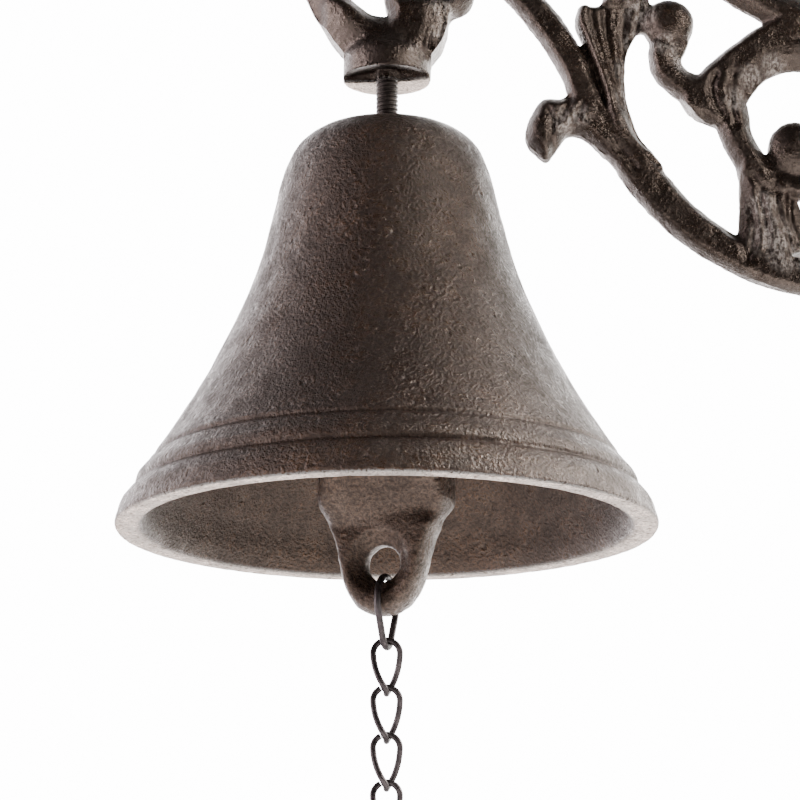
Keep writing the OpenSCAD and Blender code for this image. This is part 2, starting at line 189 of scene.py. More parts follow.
def set_bump(tree, shader, height, distance_mm):
    b = node(tree, "ShaderNodeBump", {"Strength": 1.0, "Distance": distance_mm * MM, "Height": height})
    tree.links.new(b.outputs["Normal"], shader.inputs["Normal"])


def painted_highlight_streaks(t, mm, from_axis, highlight_spots):
    """Where the painted highlight goes: streaks within each highlight spot, drawn out upwards."""
    inside = None
    for x, z, radius in highlight_spots:
        offset = vector_math(t, "ADD", from_axis, (-x, 0, -MOUTH_Z - z))
        reach = vector_math(t, "LENGTH", vector_math(t, "MULTIPLY", offset, (1, 0, 1)))
        spot = span(t, reach, 0.45 * radius, 1.1 * radius, 1.0, 0.0)
        inside = spot if inside is None else math_node(t, "MAXIMUM", inside, spot)
    drawn_out = vector_math(t, "MULTIPLY", mm, (1, 1, 0.42))
    return math_node(t, "MULTIPLY", inside, span(t, field(t, drawn_out, 0.95, 4, 0.7), 0.42, 0.58))


def cast_iron(name, dark, mid, pale, ground_below, ground_within, grain=1.0, rough_at=(0.24, 0.58),
              pits=0.6, bump=0.7, shine=0.6, highlight_spots=()):
    """Sand-cast iron under a dark wax finish: grain, pits, painted highlight spots, and one face ground bare.

    The ground face is what lies below a height and within a radius of the bell's axis. Each highlight
    spot is [x, z, radius] in mm, where a painted highlight of paler streaks lies."""
    m, t, shader, mm = new_material(name)
    broad = field(t, mm, 0.03, 3)                 # the finish goes from dark to rubbed over the casting
    patch = field(t, mm, 0.13, 4, 0.62)           # patches a few millimetres wide
    sand = field(t, mm, 1.05 * grain, 3, 0.62)    # the grain of the sand mould
    fine = field(t, mm, 3.2 * grain, 2)
    pit = node(t, "ShaderNodeTexVoronoi", {"Vector": mm, "Scale": 0.24 * grain}).outputs["Distance"]
    pitted = math_node(t, "MAXIMUM", span(t, pit, 0.06, 0.26), span(t, patch, 0.50, 0.60, 1.0, 0.0))
    tone = math_node(t, "MULTIPLY_ADD", patch, 0.55, math_node(t, "MULTIPLY", broad, 0.45))
    both = math_node(t, "MULTIPLY_ADD", sand, 0.7, math_node(t, "MULTIPLY", fine, 0.3))
    grains = ramp(t, both, [(0.40, (0.2, 0.18, 0.17)), (0.50, (0.85, 0.85, 0.85)), (0.62, (2.1, 2.0, 1.9))])
    colour = mix_colours(t, ramp(t, tone, [(0.40, dark), (0.50, mid), (0.61, pale)]), grains, "MULTIPLY")
    in_pits = ramp(t, pitted, [(0.0, (0.3, 0.27, 0.25)), (1.0, (1, 1, 1))])
    colour = mix_colours(t, colour, in_pits, "MULTIPLY")
    rusty = span(t, field(t, mm, 0.07, 5, 0.7), 0.52, 0.72, 0.0, 0.5)
    warm = mix_colours(t, colour, (1.35, 0.95, 0.62, 1), "MULTIPLY")
    colour = mix_colours(t, colour, warm, "MIX", rusty)
    wear = math_node(t, "MULTIPLY_ADD", patch, 0.4, math_node(t, "MULTIPLY", both, 0.6))
    gloss = span(t, wear, 0.42, 0.58, rough_at[1], rough_at[0])
    height = math_node(t, "MULTIPLY_ADD", fine, 0.16, sand)
    height = math_node(t, "MULTIPLY_ADD", pitted, pits, height)

    from_axis = vector_math(t, "ADD", mm, (-AXIS_X, 0, 0))
    part = node(t, "ShaderNodeSeparateXYZ", {0: from_axis})
    level = math_node(t, "MULTIPLY_ADD", sand, 1.6, part.outputs[2])
    away = vector_math(t, "LENGTH", vector_math(t, "MULTIPLY", from_axis, (1, 1, 0)))
    low = span(t, level, ground_below + 0.9, ground_below + 1.5, 1.0, 0.0)
    bare = math_node(t, "MULTIPLY", low, span(t, away, ground_within - 0.5, ground_within, 1.0, 0.0))
    # painted highlight: paler grey-brown streaks where light catches the slopes facing right
    if highlight_spots:
        painted_highlight = math_node(t, "MULTIPLY", painted_highlight_streaks(t, mm, from_axis, highlight_spots), span(t, both, 0.38, 0.54))
        colour = mix_colours(t, colour, (0.36, 0.325, 0.300, 1), "MIX", painted_highlight)
    metal = ramp(t, both, [(0.40, (0.05, 0.042, 0.038)), (0.47, (0.29, 0.285, 0.275)),
                           (0.6, (0.45, 0.445, 0.435))])
    t.links.new(mix_colours(t, colour, metal, "MIX", bare), shader.inputs["Base Color"])
    t.links.new(math_node(t, "MULTIPLY", bare, 0.75), shader.inputs["Metallic"])
    t.links.new(gloss, shader.inputs["Roughness"])
    # the wheel took most of the grain off the ground face
    set_bump(t, shader, math_node(t, "MULTIPLY", height, span(t, bare, 0.0, 1.0, 1.0, 0.25)), bump)
    shader.inputs["Specular IOR Level"].default_value = shine
    shader.inputs["Specular Tint"].default_value = (1.0, 0.80, 0.68, 1)
    return m


def dark_steel(name, colour, pale, rough_at=(0.28, 0.5), metal=0.85, bump=0.05):
    """Oxidised steel wire: smooth, with faint drawing marks and paler patches from rubbing."""
    m, t, shader, mm = new_material(name)
    fine = field(t, mm, 4.0, 3, 0.5)
    patches = ramp(t, field(t, mm, 0.5, 4, 0.5), [(0.38, colour), (0.68, pale)])
    t.links.new(patches, shader.inputs["Base Color"])
    t.links.new(span(t, fine, 0.3, 0.7, *rough_at), shader.inputs["Roughness"])
    set_bump(t, shader, fine, bump)
    shader.inputs["Metallic"].default_value = metal
    return m


BOSS_Z, BOSS_R = 130.3, 12.5          # the boss over the bell: its underside and its radius
NOWHERE = -200                        # below the clapper, so that none of it is ground
# where a painted highlight lies on the bracket's slopes that catch the light from the right, as [x, z,
# radius] from the bell's axis and mouth
HIGHLIGHT_SPOTS = [
    [72.5, 151, 5.5], [71, 142, 5], [68.6, 133, 4.5], [68, 125, 4.2], [69.6, 117, 4],      # the tall leaf
    [49.6, 117, 4.2], [54.6, 118.6, 3.6],                                                  # the low leaf
    [99, 124, 4], [103.5, 130.5, 4], [110, 134, 4], [79.5, 140, 3.6],                      # the scrolls
    [15.6, 143, 3.6], [16.2, 150, 4.2],                                                    # the boss's leaf
    [105.5, 92, 5], [108, 83, 7], [112, 78, 6],                                            # the stem
]
bell_iron = cast_iron(
    "bell_iron", (0.007, 0.0033, 0.0018), (0.015, 0.0078, 0.0044), (0.033, 0.019, 0.0115),
    ground_below=MOUTH_Z, ground_within=80)
bracket_iron = cast_iron(
    "bracket_iron", (0.003, 0.0017, 0.0012), (0.007, 0.0043, 0.0030), (0.020, 0.0138, 0.0104),
    ground_below=MOUTH_Z + BOSS_Z, ground_within=BOSS_R + 0.5,
    rough_at=(0.22, 0.42), pits=0.2, bump=0.34, shine=0.9, highlight_spots=HIGHLIGHT_SPOTS)
clapper_iron = cast_iron(
    "clapper_iron", (0.020, 0.0125, 0.0092), (0.036, 0.0240, 0.0180), (0.060, 0.043, 0.034),
    ground_below=NOWHERE, ground_within=1, grain=1.1, rough_at=(0.28, 0.6), bump=0.42)
chain_steel = dark_steel("chain_steel", (0.034, 0.028, 0.029), (0.068, 0.058, 0.059), rough_at=(0.34, 0.58))
fixing_steel = dark_steel("fixing_steel", (0.030, 0.024, 0.021), (0.065, 0.054, 0.048),
                          rough_at=(0.35, 0.6), metal=0.7, bump=0.08)


# ---------------------------------------------------------------- the bell

BELL_LINE = [[75, 0], [74.7, 2], [72.9, 6], [70.2, 10.4], [67.6, 14.6], [65.1, 18.6],
             [60.7, 25], [54.5, 35], [48.9, 45], [43.9, 55], [39.5, 65], [36, 75], [33.5, 84],
             [31.6, 92], [30, 99], [28, 105], [25.2, 110], [19.6, 114.2], [12, 116.4], [4.05, 116.9]]
LIP_R = 75.0
LAND, WALL = 7.0, 5.4                  # how thick the bell is at its mouth, and from THIN_Z up
THIN_Z = 60
CROWN_IN, HOLE_R = 109.5, 4.0          # the crown's underside, and the hole through it


def bell_profile():
    """The bell's closed outline, as [radius, z]: outside, mouth, inside and the crown's hole."""
    outer = curve(BELL_LINE, 14)[::-1]                       # from the hole down to the lip
    r, z = outer[:, 0].copy(), outer[:, 1].copy()
    # two grooves with a swelling band under each
    for at, deep, wide in ((10.4, 1.0, 0.75), (18.6, 0.85, 0.7)):
        r -= deep * np.exp(-((z - at) / wide) ** 2)
    r += 0.75 * np.exp(-((z - 13.8) / 2.0) ** 2) + 0.5 * np.exp(-((z - 6.4) / 2.2) ** 2)
    r = np.minimum(r, LIP_R)
    r -= 0.5 * np.exp(-(z / 0.5))                            # the lip's lower edge is rounded
    outer = np.c_[r, z]
    inner_line = [[x - (LAND + (WALL - LAND) * min(1, z_at / THIN_Z)), z_at] for x, z_at in BELL_LINE[3:16]]
    inner = curve([[67.4, 0.9], [65.8, 4.0]] + inner_line, 10)
    top = curve([inner[-1], [21.2, 106.6], [17, 108.8], [11.4, CROWN_IN], [HOLE_R + 0.1, CROWN_IN]], 8)[1:]
    edge = curve([[74.4, 0.1], [73.9, 0.0], [71, 0.0], [69.4, 0.04], [68.3, 0.3]], 6)
    bore = np.c_[np.full(8, HOLE_R), np.linspace(CROWN_IN + 0.3, 116.6, 8)]
    return np.vstack([outer, edge, inner, top, bore])


def make_bell():
    p, n = bell_profile(), 320
    a = np.linspace(0, 2 * np.pi, n, endpoint=False)
    pts = np.stack([p[:, 0:1] * np.cos(a), p[:, 0:1] * np.sin(a), np.repeat(p[:, 1:2], n, 1)], -1)
    flat = pts.reshape(-1, 3)
    away = np.hypot(flat[:, 0], flat[:, 1])
    out = np.c_[flat[:, :2] / np.maximum(away, 1e-6)[:, None], np.zeros(len(flat))]
    lump = rough(flat, 16, 0.22, 3.0, 3) + rough(flat, 4.2, 0.10, 9.0, 2)
    lump = np.clip(lump, -0.4, 0.30)
    keep = np.clip((away - HOLE_R) / 6, 0, 1)                               # the hole stays true
    near_lip = away > LIP_R - 1
    lump[near_lip] = np.minimum(lump[near_lip], 0)
    flat = flat + out * (lump * keep)[:, None]
    low = flat[:, 2] < 0.6
    flat[low, 2] = np.maximum(flat[low, 2] + np.abs(rough(flat[low], 6, 0.15, 1.0, 2)), 0.0)
    faces = grid_faces(len(p), n, close_rows=True)
    o = new_object("bell_shell", place(flat), faces, "bell", bell_iron)
    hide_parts("bell")


# ---------------------------------------------------------------- wire links

def tube(path, radius, sides, frames):
    """A round wire along an open path: points and faces. frames is a sideways direction at each point."""
    p = np.asarray(path, float)
    n = len(p)
    along = np.gradient(p, axis=0)
    along /= np.linalg.norm(along, axis=1)[:, None]
    across = np.cross(along, frames)
    across /= np.linalg.norm(across, axis=1)[:, None]
    over = np.cross(across, along)
    b = np.linspace(0, 2 * np.pi, sides, endpoint=False)
    rad = np.broadcast_to(radius, n)[:, None, None]
    round_it = across[:, None] * np.cos(b)[None, :, None] + over[:, None] * np.sin(b)[None, :, None]
    ring = p[:, None] + rad * round_it
    return ring.reshape(-1, 3), capped(n, sides)


def capped(rows, sides):
    """The faces of a tube with both ends closed."""
    faces = [list(f) for f in grid_faces(rows, sides)]
    faces.append(list(range(sides))[::-1])
    faces.append([(rows - 1) * sides + k for k in range(sides)])
    return faces


END = 0.3                              # how far from a cut end the wire is rounded


def open_at(path, frames, gap, wire):
    """Cuts a closed path at its first point, leaves a gap, and rounds the two ends' radii."""
    p, f = np.vstack([path, path[:1]]), np.vstack([frames, frames[:1]])
    run = np.r_[0, np.cumsum(np.linalg.norm(np.diff(p, axis=0), axis=1))]
    first, last = gap / 2, run[-1] - gap / 2
    s = np.unique(np.r_[np.linspace(first, last, len(path)), first + 0.12, last - 0.12,
                        first + END, last - END])
    q = np.stack([np.interp(s, run, p[:, k]) for k in range(3)], 1)
    g = np.stack([np.interp(s, run, f[:, k]) for k in range(3)], 1)
    end = np.minimum(s - s[0], s[-1] - s)
    r = wire / 2 * np.where(end < END, 0.86 + 0.14 * np.sqrt(np.clip(end / END, 0, 1)), 1.0)
    return q, g, r


LINKS = 12
LINK_W, LINK_L, WIRE, GAP = 9.1, 16.45, 1.7, 0.08      # GAP is the play between two wires
HALF, BEND = (LINK_L - WIRE) / 2, (LINK_W - WIRE) / 2
PITCH = 2 * HALF - WIRE - GAP
HOLD = 1.7                                             # how far from its top a link stays untwisted
BEND_STEPS = 26
TONGUE_Z, TONGUE_HOLE = -9.6, 10.0                     # the hole in the clapper's tongue
# the coupling link: its wire, its two bends' radii, and its top and low ends
C_WIRE, C_WIDE, C_NARROW = 1.9, 7.3, 3.4
C_TOP = TONGUE_Z - TONGUE_HOLE / 2 + C_WIRE / 2 + 0.5
C_LOW = C_TOP - 19.4
FIRST = C_LOW + C_WIRE / 2 + WIRE / 2 + GAP            # the first chain link's top
# the eye under the crown, and the hanger link and pull ring
EYE_Z, EYE_R, EYE_BAR = 90.0, 7.2, 2.6
THICK = 3.0
HANGER_LONG, HANGER_BEND = 15, 5
RING_R = 13.5


def link_path():
    """A chain link's path, twisted a quarter turn from top to bottom, and its frames."""
    straight = HALF - BEND
    a = np.linspace(0, math.pi, BEND_STEPS)
    top = np.c_[BEND * np.cos(a), straight + BEND * np.sin(a)]
    low = np.c_[-BEND * np.cos(a), -straight - BEND * np.sin(a)]
    down = np.linspace(straight, -straight, 16)[1:-1]
    side = np.full(len(down), BEND)
    flat = np.vstack([top, np.c_[-side, down], low, np.c_[side, down[::-1]]])
    turn = np.radians(90 * np.maximum(0, (HALF - HOLD - flat[:, 1]) / (2 * HALF - HOLD)) ** 1.3)
    path = np.c_[flat[:, 0] * np.cos(turn), flat[:, 0] * np.sin(turn), flat[:, 1]]
    frames = np.c_[-np.sin(turn), np.cos(turn), np.zeros(len(turn))]
    return path, frames


def make_chain():
    path, frames = link_path()
    # the wire's ends meet near the top, left of the middle
    cut = int(BEND_STEPS * 0.64)
    path, frames = np.roll(path, -cut, 0), np.roll(frames, -cut, 0)
    q, g, r = open_at(path, frames, 0.16, WIRE)
    pts, faces = tube(q, r, 20, g)
    for i in range(LINKS):
        name = f"chain_link_{i + 1:02d}"
        at = pts + np.array([0, 0, FIRST - i * PITCH - HALF])
        o = new_object(f"wire_link_{i + 1:02d}", place(at), faces, name, chain_steel)
        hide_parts(name)


def pear(top, low, wide, narrow, n=40):
    """A pear-shaped path in the local Y and Z plane, wide at the top, starting at the top."""
    high, deep = top - wide, low + narrow
    lean = math.asin((wide - narrow) / (high - deep))
    a = np.linspace(math.pi / 2, -lean, n)
    right = [(wide * math.cos(x), high + wide * math.sin(x)) for x in a]
    b = np.linspace(-lean, -math.pi / 2, n // 2)
    start = (narrow * math.cos(-lean), deep + narrow * math.sin(-lean))
    side = [(right[-1][0] + (start[0] - right[-1][0]) * k, right[-1][1] + (start[1] - right[-1][1]) * k)
            for k in np.linspace(0, 1, 12)[1:-1]]
    right += side + [(narrow * math.cos(x), deep + narrow * math.sin(x)) for x in b]
    left = [(-y, z) for y, z in right[::-1]][1:-1]
    yz = np.array(right + left)
    return np.c_[np.zeros(len(yz)), yz]


def wire_piece(name, path, wire, body, material, gap, cut, sides=22, with_clapper=True):
    """A bent wire whose ends meet at point cut, turned with the clapper or flat to the front."""
    frames = np.tile([1.0, 0, 0] if with_clapper else [0, 1.0, 0], (len(path), 1))
    q, g, r = open_at(np.roll(path, -cut, 0), frames, gap, wire)
    if with_clapper:
        q, g = turned(q), turned(g)
    pts, faces = tube(q, r, sides, g)
    return new_object(name, place(pts), faces, body, material)


def make_links():
    path = pear(C_TOP, C_LOW, C_WIDE, C_NARROW)
    o = wire_piece("coupling_wire", path, C_WIRE, "coupling", chain_steel,
                   gap=0.3, cut=len(path) - 6)
    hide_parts("coupling_link")

    eye_low = EYE_Z - EYE_R
    top = eye_low + EYE_BAR + THICK / 2 + GAP
    low = top - HANGER_LONG
    n, bend = 30, HANGER_BEND
    a = np.linspace(0, math.pi, n)
    up = np.c_[np.zeros(n), bend * np.cos(a), top - bend + bend * np.sin(a)]
    down = np.c_[np.zeros(n), -bend * np.cos(a), low + bend - bend * np.sin(a)]
    o = wire_piece("hanger_wire", np.vstack([up, down]), THICK, "hanger", fixing_steel,
                   gap=0.25, cut=n)
    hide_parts("hanger_link")

    last = FIRST - (LINKS - 1) * PITCH - 2 * HALF
    ring_top = last + WIRE / 2 + THICK / 2 + GAP
    a = np.linspace(0, 2 * math.pi, 120, endpoint=False)
    ring = np.c_[RING_R * np.cos(a), np.zeros(120), ring_top - RING_R + RING_R * np.sin(a)]
    o = wire_piece("ring_wire", ring, THICK, "pull_ring", chain_steel,
                   gap=0.2, cut=44, sides=26, with_clapper=False)
    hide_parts("pull_ring")


# ---------------------------------------------------------------- eye bolt

ROOT_R, CREST_R = 2.74, 3.14           # the thread, at its root and its crest
STUD_LOW, STUD_HIGH, THREAD = 97.2, 142.3, 1.27


def make_bolt():
    """The threaded stud, with the eye bent at its lower end."""
    sides = 44
    rows = int((STUD_HIGH - STUD_LOW) / THREAD * 12) + 1
    z = np.linspace(STUD_LOW, STUD_HIGH, rows)
    a = np.linspace(0, 2 * np.pi, sides, endpoint=False)
    phase = (z[:, None] / THREAD - a[None, :] / (2 * np.pi)) % 1.0
    tooth = np.clip((np.abs(phase - 0.5) * 2 - 0.10) / 0.60, 0, 1)      # 1 at the crest
    r = ROOT_R + (CREST_R - ROOT_R) * tooth
    ends = np.clip(np.minimum(z - STUD_LOW, STUD_HIGH - z) / 0.8, 0, 1)
    r = r - (1 - ends)[:, None] * (0.45 + (r - ROOT_R) * 0.6)
    pts = np.stack([r * np.cos(a), r * np.sin(a), np.repeat(z[:, None], sides, 1)], -1).reshape(-1, 3)
    faces = capped(rows, sides)
    # the eye: a bar bent from the shank's end round and back to meet it
    t = np.radians(np.linspace(90, -262, 120))
    eye = np.c_[EYE_R * np.cos(t), np.zeros(len(t)), EYE_Z + EYE_R * np.sin(t)]
    rad = np.full(len(t), EYE_BAR)
    rad[-4:] = [2.55, 2.45, 2.25, 1.9]                     # the bar's end is rounded
    eye_points, eye_faces = tube(eye, rad, 28, np.tile([0, 1.0, 0], (len(t), 1)))
    faces += [[i + len(pts) for i in f] for f in eye_faces]
    points = place(turned(np.vstack([pts, eye_points])))
    o = new_object("eye_bolt_thread", points, faces, "mounting", fixing_steel)
    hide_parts("eye_bolt")


# ---------------------------------------------------------------- castings made from their CAD shape

def remeshed(name, voxel_mm):
    """A CAD node's shape as an even mesh: points in mm, quads and edges."""
    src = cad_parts[name]
    o = bpy.data.objects.new("tmp_" + name, src.data.copy())
    bpy.context.scene.collection.objects.link(o)
    w = o.modifiers.new("weld", "WELD")
    w.merge_threshold = 1e-6
    m = o.modifiers.new("remesh", "REMESH")
    m.mode = "VOXEL"
    m.voxel_size = voxel_mm * MM
    dg = bpy.context.evaluated_depsgraph_get()
    mesh = bpy.data.meshes.new_from_object(o.evaluated_get(dg), depsgraph=dg)
    co = np.zeros(len(mesh.vertices) * 3)
    mesh.vertices.foreach_get("co", co)
    faces = [tuple(p.vertices) for p in mesh.polygons]
    edges = np.array([tuple(e.vertices) for e in mesh.edges])
    bpy.data.objects.remove(o)
    bpy.data.meshes.remove(mesh)
    return co.reshape(-1, 3) / MM, faces, edges


def relax(p, edges, times, keep):
    """Evens a mesh out, which rounds its edges. keep is how much each point may move, from 0 to 1."""
    count = np.maximum(np.bincount(edges.ravel(), minlength=len(p)), 1)[:, None]
    p = p.copy()
    for _ in range(times):
        total = np.stack([np.bincount(edges[:, 0], p[edges[:, 1], k], len(p))
                          + np.bincount(edges[:, 1], p[edges[:, 0], k], len(p)) for k in range(3)], 1)
        p += (total / count - p) * (0.5 * keep)[:, None]
    return p


def smooth(low, high, x):
    """A soft step from 0 at low to 1 at high."""
    t = np.clip((x - low) / (high - low), 0, 1)
    return t * t * (3 - 2 * t)


# The casting's bars, as [x, z, width] from the bell's axis and mouth, with the share of the
# half width that each side's bevel takes (the side on the left of the way it runs, then the right)
BARS = {
    "lower_arm": ([
        [63.5, 113.4, 11.5], [68.3, 107.8, 10.8], [72, 102, 11.2], [76, 96.8, 11], [81.1, 91, 10.5],
        [88.2, 84.6, 10.2], [96.1, 79.5, 9.9], [103.8, 75.7, 9.9], [111.7, 72.8, 9.7],
        [121, 70.8, 10.2], [131, 70, 12], [141, 70, 15], [146, 70, 20]], 0.5, 0.3),
    "main_arm": ([
        [66, 111, 11], [60.2, 118, 10], [56.4, 124.7, 9.2], [54.2, 131.4, 8.6], [51.4, 137.6, 8.8],
        [46.4, 145.7, 9], [41, 152.8, 8.7], [35.2, 158.8, 8.6], [28, 163.2, 8.8], [19.8, 165.4, 9.4],
        [12, 164.8, 10.4], [6.4, 160.9, 11], [5.2, 155.2, 12.2], [6.7, 150.4, 12.8], [6.2, 145, 13.6],
        [4, 140, 16]], 0.35, 0.5),
    "front_scroll": ([
        [-2, 139.6, 18], [-7.6, 142.6, 14], [-12.6, 147.8, 11.6], [-16.6, 153.6, 11],
        [-19.2, 160.5, 10], [-17.6, 168, 9], [-11.4, 172.6, 8], [-4.4, 171.8, 7], [-0.8, 167, 6.4],
        [-2.6, 162.6, 6]], 1.15, 0.6),
    "s_scroll": ([
        [80.4, 147, 13], [80.6, 142, 11], [79.3, 137.2, 9.4], [80.1, 133, 9], [82.6, 130.2, 8.4],
        [86.3, 127.4, 9.4], [91, 124.4, 12.5], [95.4, 122, 13]], 0.95, 0.35),
    "branch": ([
        [89, 123.5, 12], [95.2, 130, 11.6], [101.6, 136.2, 10.6], [109, 141.5, 10.4], [117, 145.6, 11],
        [126, 148.6, 11], [136, 150, 12], [146, 150.4, 18]], 0.35, 0.5),
    "top_scroll": ([
        [121, 147.5, 11], [114, 150.4, 11], [108.2, 153.4, 10.4], [100.9, 157.6, 9.8],
        [94.6, 162.4, 9.2], [90.4, 168.4, 8.6], [90.4, 176, 8], [96, 181.4, 7.4], [103.4, 180.4, 6.8],
        [105.4, 174.4, 6.2], [101.4, 170.6, 6]], 0.6, 1.2),
    "stem": ([
        [95.8, 123, 12.5], [97.6, 119.3, 10.5], [98.5, 115.2, 9.1], [100.2, 110.5, 8.4],
        [103.4, 104.6, 9.4], [106.4, 97, 14.2], [108.2, 88, 18.4], [109, 78, 21.5]], 0.7, 0.6),
    "ring_scroll": ([
        [103.4, 103, 9], [110.4, 99.6, 8.6], [118.4, 98.8, 8.2], [126.4, 101, 8], [132.6, 106.6, 8],
        [135.8, 114.6, 8], [135, 123.6, 8], [130.6, 131.4, 8.4], [122.8, 136.6, 9], [113.6, 137.6, 9.4],
        [105.4, 134.4, 9.4], [99.4, 128.6, 10.5], [96.2, 123.4, 11]], 1.5, 0.4),
    "wall_tie": ([
        [134, 118.5, 10], [140, 118.5, 11], [146, 118.5, 15]], 0.6, 0.6),
}
# The leaves' outlines, as [x, z], each with its bevel's width in mm and how far its face falls
# away to the right, mm for each mm
LEAVES = {
    "low_leaf": ([
        [58, 123.8], [50.9, 124.6], [49.2, 124], [45.4, 124.4], [43.4, 123.2], [41.8, 120.8],
        [40, 116.9], [39.2, 113.4], [40.1, 110.4], [42.3, 107.9], [45.1, 105.9], [47.3, 108.3],
        [49.2, 110.8], [49.9, 112.2], [51.4, 113.4], [53.4, 113.6], [55.8, 112.8], [58.4, 110.4],
        [61.2, 108.2], [66, 106.8], [66, 112]], 3.2, 0),
    "tall_leaf": ([
        [78, 104], [72.6, 111.3], [70.4, 115.4], [68.8, 120.2], [67.8, 126], [67.6, 131.5], [68, 137],
        [70, 141.9], [71.7, 144.2], [74.6, 145.2], [76, 149], [75, 154], [73, 159.6], [69.4, 165],
        [65.4, 168.8], [63.8, 163.6], [62.4, 157.6], [61.4, 153.2], [60, 152], [57.8, 152.4],
        [55.6, 152.4], [54.4, 150.6], [53.8, 146.4], [57.2, 138], [59.7, 130], [61.4, 124],
        [62.6, 118.6], [66, 112]], 1.6, 0.42),
    "boss_leaf": ([
        [11, 160], [17.2, 157], [17.5, 147], [16.7, 143.2], [15.5, 140.2], [13.7, 137.6], [12, 135.6],
        [8.4, 136.6], [8.2, 140], [8.6, 144], [9, 149], [9.4, 154]], 3, 0.35),
    "curl_leaf": ([
        [27, 163], [25, 155], [24.1, 152.6], [22.8, 150.7], [20.9, 149.6], [18.8, 149.4], [17.2, 150.4],
        [16.6, 154], [17, 163]], 3.4, 0),
}
# round ends, as [x, z, radius]
EYES = [[80.4, 146.7, 7.2], [116, 109.2, 8.1], [-5, 164.8, 4.6], [101.4, 172.4, 4.6]]
LIFT = 0.5                               # how far the whole drawing is lifted
SCROLL_T, LEAF_T, ARM_T = 9.5, 12.0, 17.0      # how thick bars and leaves are, and both near the boss
RIM = 0.22                               # how thick a bar still is at its outline, as a share
VEIN_DEEP, VEIN_WIDE = 1.5, 0.8
SHOULDER_Z = BOSS_Z + 7.5                # the boss is a true cylinder up to here
NECK_IN, NECK_HIGH = 4.5, 7              # above it the CAD boss narrows by 4.5 over a height of 7
FACE_FROM = 4.5                          # a CAD bar's flat faces are this far out, or a little more
OUTSIDE = 999.0

# veins and hollows carved into the castings, [x, z]
VEINS = [
    [[62.4, 153], [62.2, 147], [62.7, 141], [64, 134], [65.2, 128], [66.8, 121], [69.6, 114.6], [73, 108.6]],
    [[66.4, 163], [68, 154.5], [67.7, 148], [67.3, 142], [66.6, 135]],
    [[72.4, 156], [72.3, 150], [71.5, 145.5], [70.6, 142.5]],
    [[58, 151.5], [58.6, 146], [60, 140.5], [61.8, 134]],
    [[48.4, 117], [50.6, 120.2], [52, 122.6]],
    [[52.4, 116.4], [54.6, 119.4], [55.4, 121.6]],
    [[47.4, 108.4], [46.4, 112.4], [46.9, 116.4], [45.6, 120.2]],
    [[57.4, 117.6], [61, 114.4], [66, 108.6], [70, 102.8]],
    [[75, 153], [74.3, 148.6], [75, 144.6], [77.2, 141.6], [80.6, 140], [84.4, 141]],
    [[93.4, 131], [92, 126.6], [93.2, 121.6], [95.8, 117.8]],
    [[98.6, 131.6], [97.6, 126.6], [97.8, 120.6], [98.8, 116]],
    [[104.6, 96], [106, 88], [107, 79]],
    [[109.2, 98], [109.8, 91], [112.2, 84], [114, 76]],
    [[113.6, 95.6], [113.4, 88], [115.6, 81]],
    [[102.2, 92], [103.4, 85], [101.8, 78]],
    [[96, 84.4], [99.4, 81], [101, 76]],
    [[103, 100.6], [106.2, 97], [110, 95.6]],
]


def bar_height(q, line, left, right, half, rim):
    """How far a bar's face stands from the casting's middle plane at each place, 0 outside it.

    best is the distance from the bar's middle line as a share of its half width, negative on the right."""
    c = curve(line, 6)
    a, b = c[:-1], c[1:]
    step = b[:, :2] - a[:, :2]
    size = (step ** 2).sum(1)
    best = np.full(len(q), 9.0)
    for k in range(len(a)):
        rel = q - a[k, :2]
        t = np.clip(rel @ step[k] / size[k], 0, 1)
        off = rel - t[:, None] * step[k]
        far = np.hypot(off[:, 0], off[:, 1]) / ((a[k, 2] + (b[k, 2] - a[k, 2]) * t) / 2)
        side = np.sign(step[k, 0] * off[:, 1] - step[k, 1] * off[:, 0])
        near = far < np.abs(best)
        best = np.where(near, far * np.where(side == 0, 1, side), best)
    bevel = np.where(best > 0, left, right)
    rise = np.clip((1 - np.abs(best)) / bevel, 0, 1)
    if left > 1 or right > 1:               # a long slope runs on past the middle
        wide, signed = (left, best) if left > 1 else (right, -best)
        short = np.clip((1 + signed) / min(left, right), 0, 1)
        rise = np.minimum(np.clip((1 - signed) / wide, 0, 1), short)
    rise = 1 - (1 - rise) ** 1.35
    return np.where(np.abs(best) < 1.25, half * (rim + (1 - rim) * rise), 0.0)


def leaf_height(q, outline, bevel, fall, half, rim):
    """The same for a leaf, whose face falls away to the right."""
    n = len(outline)
    c = np.array([through(*(np.array(outline[(i + k) % n], float) for k in (-1, 0, 1, 2)), t / 4)
                  for i in range(n) for t in range(4)])
    d = np.full(len(q), 99.0)
    inside = np.zeros(len(q), bool)
    left_at = np.full(len(q), OUTSIDE)
    for a, b in zip(c, np.roll(c, -1, 0)):
        step = b - a
        t = np.clip(((q - a) @ step) / max(step @ step, 1e-9), 0, 1)
        off = q - a - t[:, None] * step
        d = np.minimum(d, np.hypot(off[:, 0], off[:, 1]))
        cross = (a[1] > q[:, 1]) != (b[1] > q[:, 1])
        at = a[0] + (q[:, 1] - a[1]) * step[0] / (step[1] if abs(step[1]) > 1e-9 else 1e-9)
        inside ^= cross & (q[:, 0] < at)
        left_at = np.where(cross, np.minimum(left_at, at), left_at)
    rise = 1 - (1 - np.clip(d / bevel, 0, 1)) ** 1.7
    drop = np.where(left_at < OUTSIDE, np.clip(q[:, 0] - left_at - 1.2, 0, 10) * fall, 0)
    return np.where(inside | (d < 0.8), np.maximum(half * (rim + (1 - rim) * rise) - drop, half * rim), 0.0)


def boss_radius(z):
    """The boss narrows to a rounded end above its cylinder."""
    return BOSS_R - 4.4 * smooth(BOSS_Z + 6, BOSS_Z + 14.5, z) - 8.1 * smooth(BOSS_Z + 12.5, BOSS_Z + 17, z)


